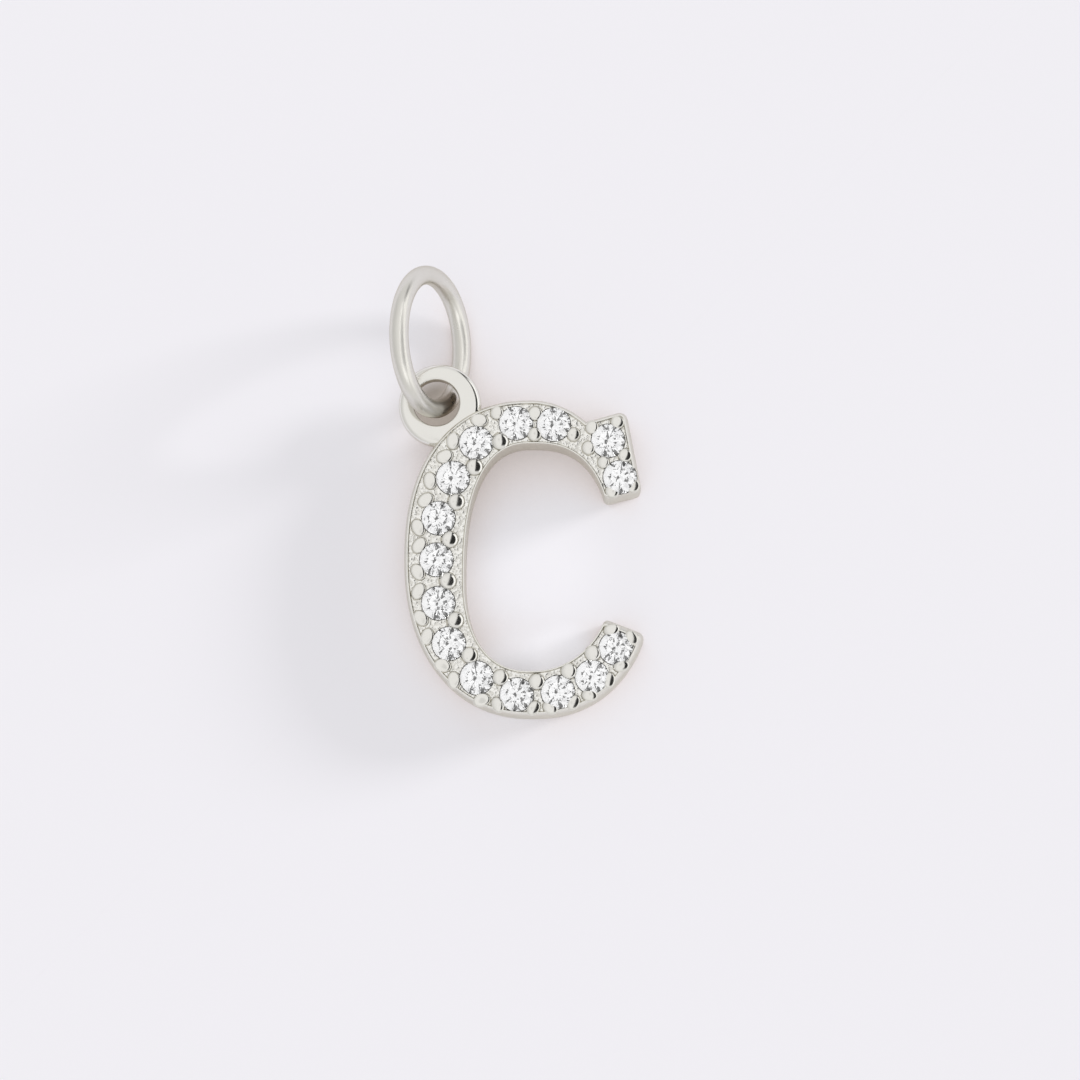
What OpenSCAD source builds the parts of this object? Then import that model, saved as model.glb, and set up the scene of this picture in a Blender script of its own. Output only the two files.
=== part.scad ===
// Letter C charm lying on its back: a cast silver letter with fifteen bead-set round stones,
// a cast eyelet at its upper left and a jump ring that leans through the eyelet's hole.
// Millimetres. The letter's back lies on z = 0 and its top points along +Y.

/* [Letter] */
// Height of the letter
letter_h = 10.3; // [10:0.1:11.4]
// Width of the bowl's outer curve, as if it closed on the right
bowl_w = 8.17; // [8:0.01:9]
// Thickness of the letter, from its flat back to its rim
letter_t = 2.1; // [2:0.05:2.8]
// Width of the stroke at the left of the bowl
stroke_side = 1.92; // [1.86:0.01:2.2]
// Width of the stroke at the top of the bowl
stroke_top = 1.39; // [1.37:0.01:1.6]
// Width of the stroke at the foot of the bowl
stroke_foot = 1.5; // [1.44:0.01:1.7]

/* [Stone field] */
// Width of the smooth rim round the letter's face
rim_w = 0.12; // [0.08:0.01:0.14]
// Depth of the textured field below the rim
field_depth = 0.14; // [0.08:0.01:0.2]
// Diameter of a bead between two stones
shared_bead_d = 0.48; // [0.44:0.01:0.52]
// Diameter of a bead that holds one stone
bead_d = 0.43; // [0.38:0.01:0.46]
// Diameter of the light hole behind each stone
light_hole_d = 0.46; // [0.3:0.01:0.6]

/* [Stones] */
// Diameter of a stone
stone_d = 1.1; // [1:0.01:1.12]
// Clearance between a stone and the metal round it
seat_gap = 0.02; // [0.01:0.005:0.03]

/* [Eyelet] */
// Outer diameter of the eyelet
eyelet_d = 2.7; // [2.5:0.02:3.2]
// Diameter of the eyelet's hole
hole_d = 1.51; // [1.45:0.01:1.7]
// Thickness of the eyelet
eyelet_t = 0.75; // [0.6:0.01:0.8]
// How far the eyelet's face lies below the letter's rim
eyelet_drop = 0.06; // [0.03:0.01:0.12]
// Rounding of the eyelet's edges
eyelet_round = 0.1; // [0.06:0.01:0.15]

/* [Jump ring] */
// Outer diameter of the jump ring
ring_d = 5; // [4.8:0.05:6]
// Diameter of its wire
wire_d = 0.62; // [0.5:0.01:0.64]
// Lean of the ring's plane from the surface that the charm lies on, in degrees
ring_lean = 64.3; // [62:0.1:68]

/* [Hidden] */
$fn = 48;

silver = [0.78, 0.77, 0.73];
clear_stone = [0.92, 0.94, 0.97];

// Fullness of the curves: 2 is an ellipse, and more is squarer.
outer_full = 2.3;
arm_full = 2;
inner_full_top_left = 2.45;
inner_full_top_right = 2.65;
inner_full_foot_left = 2.36;
inner_full_foot_right = 2.09;
row_full = 2.38;
arc_steps = 16;
corner_steps = 4;

// Half sizes of the letter's outer curve, which is centred on [0, 0].
half_w = bowl_w / 2;
half_h = letter_h / 2;

// Places on the letter as shares of its half width and half height.
arm_reach = 0.876;
counter_mid = -0.107;
counter_right = 0.653;
serif_notch = [0.455, 0.88];
serif_top = [0.757, 0.937];
serif_foot = [0.883, 0.4286];
serif_inner_end = 0.3685;
foot_inner_end = -0.3745;
foot_outer_end = -0.476;

// Corner radii of the two ends of the letter.
serif_top_r = 0.26;
serif_foot_r = 0.16;
inner_corner_r = 0.13;
foot_corner_r = 0.24;
field_corner_r = 0.04;

// The counter, the letter's open middle, has its own centre and half sizes.
counter = [0, counter_mid * half_h];
counter_left = half_w - stroke_side;
counter_right_w = counter_right * half_w;
counter_top = half_h - stroke_top - counter[1];
counter_foot = half_h - stroke_foot + counter[1];

// Shape of a round brilliant, as shares of its radius.
table_r = 0.57;
star_r = 0.79;
lower_half_r = 0.25;
crown_h = 0.3;
girdle_h = 0.05;
pavilion_h = 0.86;
facets = 8;
facet_turn = 360 / facets;
// Heights of the star and lower-half corners that keep the eight main facets flat.
star_h = crown_h * (1 - star_r * cos(facet_turn / 2)) / (1 - table_r);
lower_half_h = pavilion_h * (1 - lower_half_r * cos(facet_turn / 2));

stone_r = stone_d / 2;
field_z = letter_t - field_depth;
// A stone's girdle tops out a little above the field, and the beads spring from the field.
girdle_rise = 0.04;
girdle_z = field_z + girdle_rise;
bead_rise = 0.05;

// The two stones of the serif, as shares of the letter's half width and half height.
SERIF_STONES = [[0.615, 0.75], [0.71, 0.5174]];
// The stones of the bowl. Columns: angle round the row's centre, and shift off the row
// outwards as a share of the stone's radius.
BOWL_STONES = [
    [81, 0], [96, 0.02], [113.8, -0.11], [131.1, -0.2], [152, 0], [175.4, -0.07],
    [201.2, -0.07], [223, -0.02], [243.9, -0.05], [263.6, 0.09], [282.1, 0.04], [298.9, -0.02],
    [316.2, -0.11],
];
// Beads that hold one stone. Columns: stone, lap over its edge as a share of its radius, and
// directions from its centre.
BEADS = [
    [0, 0.13, [140, 63, 200]], [1, 0.44, [326]], [1, 0.4, [241]], [2, 0.05, [333]],
    [3, 0.07, [151]], [4, 0, [175, 82]], [5, 0, [111, 187]], [6, 0.05, [125, 205]],
    [7, 0.05, [140, 214]], [8, 0, [149, 221]], [9, 0.02, [162, 254]], [10, 0.02, [186, 283]],
    [11, 0.07, [208, 321]], [12, 0.31, [244]], [12, 0.24, [326]], [13, 0.25, [263]],
    [13, 0.31, [349]], [14, 0.24, [103, 287, 33]],
];
// Beads between two stones. Columns: the stones, lap over their edges as a share of their
// radius, and 1 on the row's inner side or -1 outside.
SHARED_BEADS = concat(
    [[0, 1, 0.04, -1], [0, 1, 0.09, 1], [2, 3, 0.13, -1], [2, 3, 0.13, 1]],
    [for (i = [3:13]) [i, i + 1, 0.04, 1]]
);

// The eyelet's centre as shares of the letter's half sizes, and its hole's shift away from the
// letter as shares of the eyelet's radius.
eyelet_place = [-0.732, 0.9805];
hole_shift = [-0.081, 0.059];
eyelet_xy = [eyelet_place[0] * half_w, eyelet_place[1] * half_h];
hole_xy = eyelet_xy + hole_shift * eyelet_d / 2;
eyelet_top = letter_t - eyelet_drop;
eyelet_mid = eyelet_top - eyelet_t / 2;

// The jump ring stands on z = 0. Its wire passes the hole a little off the hole's middle, by
// shares of the hole's radius.
ring_turn = 91;
wire_shift = [0.212, -0.159];
ring_r = (ring_d - wire_d) / 2;
ring_along = [cos(ring_turn), sin(ring_turn), 0];
ring_up = [
    -sin(ring_turn) * cos(ring_lean), cos(ring_turn) * cos(ring_lean), sin(ring_lean),
];
ring_z = ring_r * sin(ring_lean) + wire_d / 2;
wire_xy = hole_xy + wire_shift * hole_d / 2;
wire_in_hole = [wire_xy[0], wire_xy[1], eyelet_mid];
wire_angle = 180 - asin((eyelet_mid - ring_z) / (ring_r * sin(ring_lean)));
ring_centre = wire_in_hole - ring_r * (cos(wire_angle) * ring_along + sin(wire_angle) * ring_up);
ring_axis = cross(ring_along, ring_up);

// Overlap that lets a cut run clean through a face.
through = 1;

// A power that keeps its sign, for the curves' left and lower quarters.
function spow(v, e) = sign(v) * pow(abs(v), e);

// Points of a superellipse's arc from angle t0 to t1, its first point left out.
function arc(centre, a, b, full, t0, t1) = [
    for (i = [1:arc_steps]) let (t = t0 + (t1 - t0) * i / arc_steps)
        [centre[0] + a * spow(cos(t), 2 / full), centre[1] + b * spow(sin(t), 2 / full), 0]
];

// Angle at which such a curve reaches height y above its centre, on its right side.
function angle_at(y, b, full) = sign(y) * asin(pow(abs(y) / b, full / 2));

function corner(share, r) = [share[0] * half_w, share[1] * half_h, r];

// Corner where a curve ends at a share of the half height, with its rounding.
function end_corner(centre, a, b, full, share, r) =
    let (t = angle_at(share * half_h - centre[1], b, full))
    [centre[0] + a * spow(cos(t), 2 / full), share * half_h, r];

foot_end_angle = angle_at(foot_outer_end * half_h, half_h, outer_full);
counter_foot_angle = angle_at(foot_inner_end * half_h - counter[1], counter_foot,
    inner_full_foot_right);
counter_top_angle = angle_at(serif_inner_end * half_h - counter[1], counter_top,
    inner_full_top_right);
arm_angle = acos(pow(serif_notch[0] / arm_reach, arm_full / 2));

function without_last(list) = [for (i = [0:len(list) - 2]) list[i]];

// The letter's outline with sharp corners, anticlockwise. The third number rounds a corner.
outline = concat(
    arc([0, 0], half_w, half_h, outer_full, 90, 180),
    arc([0, 0], half_w, half_h, outer_full, 180, 270),
    without_last(arc([0, 0], half_w, half_h, outer_full, 270, 360 + foot_end_angle)),
    [end_corner([0, 0], half_w, half_h, outer_full, foot_outer_end, foot_corner_r)],
    [end_corner(counter, counter_right_w, counter_foot, inner_full_foot_right,
        foot_inner_end, inner_corner_r)],
    arc(counter, counter_right_w, counter_foot, inner_full_foot_right,
        counter_foot_angle, -90),
    arc(counter, counter_left, counter_foot, inner_full_foot_left, 270, 180),
    arc(counter, counter_left, counter_top, inner_full_top_left, 180, 90),
    without_last(arc(counter, counter_right_w, counter_top, inner_full_top_right,
        90, counter_top_angle)),
    [end_corner(counter, counter_right_w, counter_top, inner_full_top_right,
        serif_inner_end, inner_corner_r)],
    [corner(serif_foot, serif_foot_r), corner(serif_top, serif_top_r)],
    arc([0, 0], arm_reach * half_w, half_h, arm_full, arm_angle, 90)
);

function flat(v) = [v[0], v[1]];
function unit(v) = v / norm(v);
function at(list, i) = list[(i + len(list)) % len(list)];
function side_of(a, b) = let (u = unit(flat(b) - flat(a))) [-u[1], u[0]];

// The outline moved inwards by w, with its corners' rounding set to r.
function inset(path, w, r) = [
    for (i = [0:len(path) - 1])
        let (
            n0 = side_of(at(path, i - 1), path[i]),
            n1 = side_of(path[i], at(path, i + 1)),
            way = unit(n0 + n1),
            p = flat(path[i]) + way * w / (way * n0)
        ) [p[0], p[1], path[i][2] > 0 ? r : 0]
];

// Arc that rounds corner b between its neighbours a and c.
function rounded_corner(a, b, c, r) =
    let (
        u = unit(flat(a) - flat(b)),
        v = unit(flat(c) - flat(b)),
        half = acos(u * v) / 2,
        centre = flat(b) + unit(u + v) * r / sin(half),
        start = flat(b) + u * r / tan(half) - centre,
        end = flat(b) + v * r / tan(half) - centre,
        turn = 180 - 2 * half,
        way = cross(start, end) > 0 ? 1 : -1
    ) [
        for (i = [0:corner_steps]) let (t = way * turn * i / corner_steps)
            centre + [start[0] * cos(t) - start[1] * sin(t), start[0] * sin(t) + start[1] * cos(t)]
    ];

function rounded(path) = [
    for (i = [0:len(path) - 1])
        each (path[i][2] > 0
            ? rounded_corner(at(path, i - 1), path[i], at(path, i + 1), path[i][2])
            : [flat(path[i])])
];

letter_points = rounded(outline);
field_points = rounded(inset(outline, rim_w, field_corner_r));

// The row of stones runs midway between the outer curve and the counter.
row_centre = counter / 2;
row_left = (half_w + counter_left) / 2;
row_right = (half_w + counter_right_w) / 2;
row_top = (half_h + counter_top) / 2;
row_foot = (half_h + counter_foot) / 2;

function row_reach(t) =
    let (a = cos(t) < 0 ? row_left : row_right, b = sin(t) > 0 ? row_top : row_foot)
    pow(pow(abs(cos(t)) / a, row_full) + pow(abs(sin(t)) / b, row_full), -1 / row_full);

stone_places = concat(
    [for (s = SERIF_STONES) [s[0] * half_w, s[1] * half_h]],
    [for (s = BOWL_STONES)
        row_centre + (row_reach(s[0]) + s[1] * stone_r) * [cos(s[0]), sin(s[0])]]
);

function stone_name(i) = str("stone_", i < 9 ? "0" : "", i + 1);

// Centre of a bead that touches stones i and j, on one side of the row.
function shared_place(i, j, lap, side) =
    let (
        a = stone_places[i],
        b = stone_places[j],
        reach = stone_r * (1 - lap) + shared_bead_d / 2,
        way = side_of(a, b)
    ) (a + b) / 2 + side * way * sqrt(max(0, reach * reach - pow(norm(b - a) / 2, 2)));

single_beads = [
    for (row = BEADS, t = row[2])
        stone_places[row[0]] + (stone_r * (1 - row[1]) + bead_d / 2) * [cos(t), sin(t)]
];
shared_beads = [for (row = SHARED_BEADS) shared_place(row[0], row[1], row[2], row[3])];

// Profile of a stone from its culet up, as [radius, height over the girdle's top].
stone_profile = stone_r * [
    [0, -girdle_h - pavilion_h], [lower_half_r, -girdle_h - lower_half_h], [1, -girdle_h],
    [1, 0], [star_r, star_h], [table_r, crown_h],
];

// Space that a stone needs in the metal: its own profile, wider and higher by the clearance.
module seat() {
    grown = [
        for (p = stone_profile)
            [p[0] + (p[0] > 0 ? seat_gap : 0), p[1] + (p[1] < 0 ? -seat_gap : seat_gap)]
    ];
    rotate_extrude() polygon(concat(grown, [[0, grown[len(grown) - 1][1]]]));
    translate([0, 0, -girdle_z - through])
        cylinder(d = light_hole_d, h = through + girdle_z - girdle_h * stone_r - seat_gap * 2);
}

// Flat eyelet with rounded edges and a hole that flares at both faces.
module eyelet() {
    r = eyelet_d / 2;
    flare = hole_d / 2 + eyelet_round;
    difference() {
        translate([eyelet_xy[0], eyelet_xy[1], eyelet_top - eyelet_t]) rotate_extrude() {
            square([r - eyelet_round, eyelet_t]);
            translate([0, eyelet_round]) square([r, eyelet_t - 2 * eyelet_round]);
            for (z = [eyelet_round, eyelet_t - eyelet_round])
                translate([r - eyelet_round, z]) circle(eyelet_round);
        }
        translate([hole_xy[0], hole_xy[1], eyelet_top - eyelet_t]) rotate_extrude() difference() {
            translate([0, -through]) square([flare, eyelet_t + 2 * through]);
            translate([flare - eyelet_round, eyelet_round])
                square([2 * eyelet_round, eyelet_t - 2 * eyelet_round]);
            for (z = [eyelet_round, eyelet_t - eyelet_round])
                translate([flare, z]) circle(eyelet_round);
        }
    }
}

// The cast letter: body, sunk field, beads and eyelet in one piece, with the stones' seats cut.
module letter_setting() {
    color(silver) to_origin() difference() {
        union() {
            difference() {
                linear_extrude(letter_t) polygon(letter_points);
                translate([0, 0, field_z]) linear_extrude(through) polygon(field_points);
            }
            eyelet();
            for (p = single_beads) translate([p[0], p[1], field_z + bead_rise]) sphere(d = bead_d);
            for (p = shared_beads)
                translate([p[0], p[1], field_z + bead_rise]) sphere(d = shared_bead_d);
        }
        for (p = stone_places) translate([p[0], p[1], girdle_z]) seat();
    }
}

// Plain closed ring of round wire, leaning through the eyelet's hole.
module jump_ring() {
    color(silver) to_origin() translate(ring_centre)
        rotate([0, 0, ring_turn]) rotate([ring_lean, 0, 0])
            rotate_extrude() translate([ring_r, 0]) circle(d = wire_d);
}

// Round brilliant with its table, eight main, eight star and sixteen upper girdle facets.
module brilliant() {
    function ring_points(n, r, z, turn) =
        [for (i = [0:n - 1]) stone_r * [r * cos(turn + i * 360 / n), r * sin(turn + i * 360 / n), z]];
    n = facets;
    half = facet_turn / 2;
    points = concat(
        ring_points(n, table_r, crown_h, 0),
        ring_points(n, star_r, star_h, half),
        ring_points(2 * n, 1, 0, 0),
        ring_points(2 * n, 1, -girdle_h, 0),
        ring_points(n, lower_half_r, -girdle_h - lower_half_h, half),
        [[0, 0, -stone_r * (girdle_h + pavilion_h)]]
    );
    function tab(i) = i % n;
    function star(i) = n + (i + n) % n;
    function top(i) = 2 * n + i % (2 * n);
    function low(i) = 4 * n + i % (2 * n);
    function half_facet(i) = 6 * n + (i + n) % n;
    culet = 7 * n;
    faces = concat(
        [[for (i = [n - 1:-1:0]) tab(i)]],
        [for (i = [0:n - 1]) [tab(i), tab(i + 1), star(i)]],
        [for (i = [0:n - 1]) [tab(i), star(i), top(2 * i), star(i - 1)]],
        [for (i = [0:n - 1]) [star(i), top(2 * i + 1), top(2 * i)]],
        [for (i = [0:n - 1]) [star(i), top(2 * i + 2), top(2 * i + 1)]],
        [for (i = [0:2 * n - 1]) [low(i), top(i), top(i + 1), low(i + 1)]],
        [for (i = [0:n - 1]) [half_facet(i), low(2 * i), low(2 * i + 1)]],
        [for (i = [0:n - 1]) [half_facet(i), low(2 * i + 1), low(2 * i + 2)]],
        [for (i = [0:n - 1]) [culet, half_facet(i - 1), low(2 * i), half_facet(i)]]
    );
    polyhedron(points, faces);
}

// Each stone is set with its facets turned its own way.
stone_turn = 17;
module stone(i) {
    p = stone_places[i];
    color(clear_stone) to_origin() translate([p[0], p[1], girdle_z])
        rotate([0, 0, i * stone_turn]) brilliant();
}

// The origin is the middle of the whole charm's underside: the ring reaches furthest left and up.
low_x = min(
    eyelet_xy[0] - eyelet_d / 2,
    ring_centre[0] - ring_r * sqrt(1 - pow(ring_axis[0], 2)) - wire_d / 2
);
high_x = max([for (p = letter_points) p[0]]);
low_y = min([for (p = letter_points) p[1]]);
high_y = ring_centre[1] + ring_r * sqrt(1 - pow(ring_axis[1], 2)) + wire_d / 2;
module to_origin() {
    translate([-(low_x + high_x) / 2, -(low_y + high_y) / 2, 0]) children();
}

letter_setting();
jump_ring();
for (i = [0:len(stone_places) - 1]) {
    stone(i);
}
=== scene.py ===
import math

import bmesh
import bpy
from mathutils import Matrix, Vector


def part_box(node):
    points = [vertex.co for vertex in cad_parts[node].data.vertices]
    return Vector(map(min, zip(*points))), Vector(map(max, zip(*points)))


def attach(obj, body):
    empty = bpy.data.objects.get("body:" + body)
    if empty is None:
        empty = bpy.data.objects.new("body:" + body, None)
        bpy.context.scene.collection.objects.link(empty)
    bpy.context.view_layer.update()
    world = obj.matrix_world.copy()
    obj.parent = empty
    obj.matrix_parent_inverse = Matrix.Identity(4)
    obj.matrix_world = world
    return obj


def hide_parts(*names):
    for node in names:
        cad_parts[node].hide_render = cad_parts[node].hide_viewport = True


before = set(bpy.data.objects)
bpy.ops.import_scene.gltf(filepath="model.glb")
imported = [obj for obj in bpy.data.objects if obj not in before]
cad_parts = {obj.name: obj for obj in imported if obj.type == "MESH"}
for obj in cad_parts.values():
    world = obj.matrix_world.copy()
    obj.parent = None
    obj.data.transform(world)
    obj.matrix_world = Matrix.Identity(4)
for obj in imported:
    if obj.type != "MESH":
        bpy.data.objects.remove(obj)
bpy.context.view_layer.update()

# Letter C charm: a cast silver letter with bead-set round stones, and a jump ring that leans
# through its eyelet. The setting and the ring are shaped in millimetres round the letter's own
# centre, then brought to metres and to the charm's frame. The stones are the CAD's own.
MM = 0.001

# The letter's sizes, in millimetres.
LETTER_H, BOWL_W, LETTER_T = 10.3, 8.17, 2.1
STROKE_SIDE, STROKE_TOP, STROKE_FOOT = 1.92, 1.39, 1.5
FIELD_DEPTH, BACK_ROUND = 0.14, 0.06
FIELD_Z = LETTER_T - FIELD_DEPTH
# The tumbled shoulder: how far in from the edge it has come at each height, where it is widest.
# Each side of the letter has its share of that. The rim's smooth top and its slope down to the
# field follow, and are equally wide everywhere.
SHOULDER = ((0, 1.2), (0.03, 1.7), (0.07, 1.88), (0.115, 1.98), (0.155, 2.03), (0.185, 2.05))
LEFT_SHARE, FOOT_SHARE, SERIF_SHARE, COUNTER_SHARE = 0.6, 1.05, 0.7, 0.15
RIM_TOP_W, RIM_SLOPE = 0.03, 0.035
HALF_W, HALF_H = BOWL_W / 2, LETTER_H / 2
# The casting is a little fuller than its drawing at the left and along the top.
LEFT_SWELL, TOP_SWELL = 0.08, 0.09

# Stones and their beads.
STONE_D, SEAT_GAP, GIRDLE_RISE, LIGHT_HOLE_D = 1.1, 0.02, 0.04, 0.46
STONE_R = STONE_D / 2
GIRDLE_Z = FIELD_Z + GIRDLE_RISE
# How far a bead's middle lies above the field, how far its top leans as a share of its breadth,
# and how much more of a stone's radius a bead of its own laps.
BEAD_RISE, BEAD_LEAN, BEAD_LAP = 0.02, 0.2, 0.06
# Where a bead's top begins to be flattened, as a share of its height, and how far round its top
# the lean reaches, as a share of its breadth.
BEAD_TOP, LEAN_REACH = 0.6, 0.55
# A bead's breadth away from its stone in millimetres, and as shares its spread along the row, its
# height, and what flattening leaves of the height above its top's edge.
ROUND_BEAD, FLAT_BEAD = (0.47, 1.05, 0.6, 0.7), (0.47, 1.3, 0.55, 0.4)
OVAL_BEAD = (0.44, 1.3, 0.66, 0.8)
# Profile of a stone from its culet up, as shares of its radius: reach, height over its girdle.
STONE_PROFILE = ((0, -0.91), (0.25, -0.7115), (1, -0.05), (1, 0), (0.79, 0.1884), (0.57, 0.3))

# Eyelet and jump ring. The eyelet's place is given as shares of the letter's halves, and its
# hole's shift from there as shares of its radius.
EYELET_D, HOLE_D, EYELET_T, EYELET_DROP, EYELET_ROUND = 2.7, 1.51, 0.65, 0.16, 0.2
HOLE_ROUND = 0.05
EYELET_PLACE, HOLE_SHIFT = (-0.732, 0.9805), Vector((-0.081, 0.059))
EYELET_XY = Vector((EYELET_PLACE[0] * HALF_W, EYELET_PLACE[1] * HALF_H))
HOLE_XY = EYELET_XY + HOLE_SHIFT * EYELET_D / 2
RING_D, WIRE_D, RING_TURN, RING_LEAN = 5, 0.62, 91, 64.3

# The curves' fullness (2 is an ellipse), and the places on the letter as shares of its halves.
OUTER_FULL, LOWER_FULL, ARM_FULL, ARM_REACH = 2.3, 2.2, 2, 0.876
FOOT_FULL, LOW_LEFT_FULL, TOP_LEFT_FULL, SERIF_FULL = 2.09, 2.36, 2.45, 2.65
COUNTER_MID, COUNTER_RIGHT = -0.107, 0.653
SERIF_NOTCH, SERIF_TOP, SERIF_FOOT = (0.455, 0.88), (0.762, 0.951), (0.889, 0.4286)
SERIF_INNER_END, FOOT_INNER_END, FOOT_OUTER_END = 0.3685, -0.3745, -0.476
SERIF_TOP_R, SERIF_FOOT_R, INNER_CORNER_R, FOOT_CORNER_R = 0.28, 0.24, 0.17, 0.26
FIELD_CORNER_R = 0.1
# Sides that meet at less than about 20 degrees are one smooth run.
SMOOTH_TURN = 0.94
# How finely the round forms are divided, and up to what angle their faces are shaded as one.
ARC_STEPS, CORNER_STEPS, BACK_STEPS, EYELET_STEPS, EDGE_STEPS = 30, 8, 3, 120, 6
BEAD_STEPS, BEAD_RINGS, SEAT_STEPS, RING_STEPS, WIRE_STEPS = 40, 24, 64, 176, 40
SETTING_SMOOTH, RING_SMOOTH = 35, 60
# Points closer than this are one point, on a drawn wall and elsewhere. A light hole is cut this
# far past the back.
WALL_MERGE, MERGE, PAST_BACK = 1e-5, 1e-4, 1

# Beads that hold one stone: stone, lap over its edge as a share of its radius, directions.
BEADS = (
    (0, 0.13, (140, 63, 200)), (1, 0.44, (326,)), (1, 0.4, (241,)), (2, 0.05, (333,)),
    (3, 0.07, (151,)), (4, 0, (175, 82)), (5, 0, (111, 187)), (6, 0.05, (125, 205)),
    (7, 0.05, (140, 214)), (8, 0, (149, 221)), (9, 0.02, (162, 254)), (10, 0.02, (186, 283)),
    (11, 0.07, (208, 321)), (12, 0.31, (244,)), (12, 0.24, (326,)), (13, 0.25, (263,)),
    (13, 0.31, (349,)), (14, 0.24, (103, 287, 33)),
)
# The last stones whose own beads are round and flat. The beads of the rest are oval.
LAST_ROUND, LAST_FLAT = 3, 10
# Beads between two stones: the stones, lap, 1 on the row's inner side or -1 outside, breadth,
# and the same shares of height.
SHARED_BEADS = (
    (0, 1, 0.08, -1, 0.44, 0.62, 0.8), (0, 1, 0.12, 1, 0.5, 0.62, 0.8),
    (2, 3, 0.17, -1, 0.5, 0.5, 0.5), (2, 3, 0.17, 1, 0.5, 0.62, 0.8),
    *((i, i + 1, 0.12, 1, 0.6, 0.64, 1) for i in range(3, 9)),
    *((i, i + 1, 0.12, 1, 0.57, 0.6, 0.75) for i in range(9, 14)),
)

# Where the letter's centre lies in the charm's frame, and the middle of each stone from there.
setting_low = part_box("letter_setting")[0] / MM
LETTER_AT = Vector((setting_low.x - EYELET_XY.x + EYELET_D / 2, setting_low.y + HALF_H, 0))
stone_names = sorted(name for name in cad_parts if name.startswith("stone_"))
stones = [
    ((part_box(name)[0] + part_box(name)[1]) / 2 / MM - LETTER_AT).xy for name in stone_names
]


# Working habits at the bench: picking, drawing up, cutting and joining.
def start(add, **how):
    bpy.ops.object.select_all(action="DESELECT")
    add(**how)
    return bpy.context.object


def take(*pieces):
    """Selects these pieces alone and works on the first."""
    bpy.ops.object.select_all(action="DESELECT")
    for piece in pieces:
        piece.select_set(True)
    bpy.context.view_layer.objects.active = pieces[0]


def pick(kind, rule):
    """Selects the vertices, edges or faces of the mesh in hand that keep the rule."""
    mesh = bpy.context.object.data
    bpy.ops.mesh.select_mode(type=kind)
    bpy.ops.mesh.select_all(action="DESELECT")
    hand = bmesh.from_edit_mesh(mesh)
    for part in {"VERT": hand.verts, "EDGE": hand.edges, "FACE": hand.faces}[kind]:
        if rule(part):
            part.select_set(True)
    hand.select_flush_mode()
    bmesh.update_edit_mesh(mesh)


def put_points(order, points, z):
    """Puts the vertices of the mesh in hand, taken in this order, at the points."""
    hand = bmesh.from_edit_mesh(bpy.context.object.data)
    hand.verts.ensure_lookup_table()
    for number, point in zip(order, points):
        hand.verts[number].co = (point[0], point[1], z)
    bmesh.update_edit_mesh(bpy.context.object.data)


def draw_up(loops, lids=True):
    """A wall drawn through loops of points and heights, by extruding from each to the next.
    It is closed by a face at each end, or joined end to end."""
    count = len(loops[0][0])
    piece = start(bpy.ops.mesh.primitive_circle_add, vertices=count, radius=1)
    bpy.ops.object.mode_set(mode="EDIT")
    bpy.ops.mesh.select_all(action="SELECT")
    order = list(range(count))
    put_points(order, *loops[0])
    if lids:
        bpy.ops.mesh.edge_face_add()
    for points, z in loops[1:]:
        bpy.ops.mesh.extrude_region_move()
        hand = bmesh.from_edit_mesh(piece.data)
        hand.verts.index_update()
        hand.verts.ensure_lookup_table()
        order = [
            next(v.index for e in hand.verts[number].link_edges for v in e.verts if v.select)
            for number in order
        ]
        put_points(order, points, z)
    close_up(WALL_MERGE)
    return piece


def spin_round(steps):
    """Spins the profile in hand once round the upright axis."""
    bpy.ops.mesh.select_all(action="SELECT")
    bpy.ops.mesh.spin(steps=steps, angle=math.tau, center=(0, 0, 0), axis=(0, 0, 1))
    close_up(MERGE)


def close_up(threshold):
    """Merges the doubles of the mesh in hand, turns its faces outwards and leaves it."""
    bpy.ops.mesh.select_all(action="SELECT")
    bpy.ops.mesh.remove_doubles(threshold=threshold)
    bpy.ops.mesh.select_all(action="SELECT")
    bpy.ops.mesh.normals_make_consistent(inside=False)
    bpy.ops.object.mode_set(mode="OBJECT")


def joined(pieces):
    """The pieces joined into one, its place in its mesh."""
    take(*pieces)
    bpy.ops.object.join()
    bpy.ops.object.transform_apply()
    return bpy.context.object


def copies(piece, places):
    """A copy of the piece at each place and turn, each with its own mesh, joined into one."""
    made = []
    for *place, turn in places:
        twin = piece.copy()
        twin.data = piece.data.copy()
        twin.location = place
        twin.rotation_euler.z = turn
        bpy.context.collection.objects.link(twin)
        made.append(twin)
    bpy.data.objects.remove(piece)
    return joined(made)


def boolean(piece, tool, operation):
    take(piece)
    cut = piece.modifiers.new("cut", "BOOLEAN")
    cut.operation, cut.object, cut.solver = operation, tool, "MANIFOLD"
    bpy.ops.object.modifier_apply(modifier=cut.name)
    bpy.data.objects.remove(tool)


def finish_piece(piece, name, node, smooth_angle):
    """Brings a piece from millimetres to its place in the charm's frame, as the CAD node's."""
    take(piece)
    piece.location = LETTER_AT * MM
    piece.scale = (MM, MM, MM)
    bpy.ops.object.transform_apply()
    bpy.ops.object.shade_smooth_by_angle(angle=math.radians(smooth_angle))
    piece.name = piece.data.name = name
    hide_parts(node)
    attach(piece, "root")
    return piece


# The letter's outline, drawn as in the CAD with finer steps, rounder corners and the fuller left
# and top. Angles are in degrees.
def signed_power(value, power):
    return math.copysign(abs(value) ** power, value)


def cos(t):
    return math.cos(math.radians(t))


def sin(t):
    return math.sin(math.radians(t))


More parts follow.
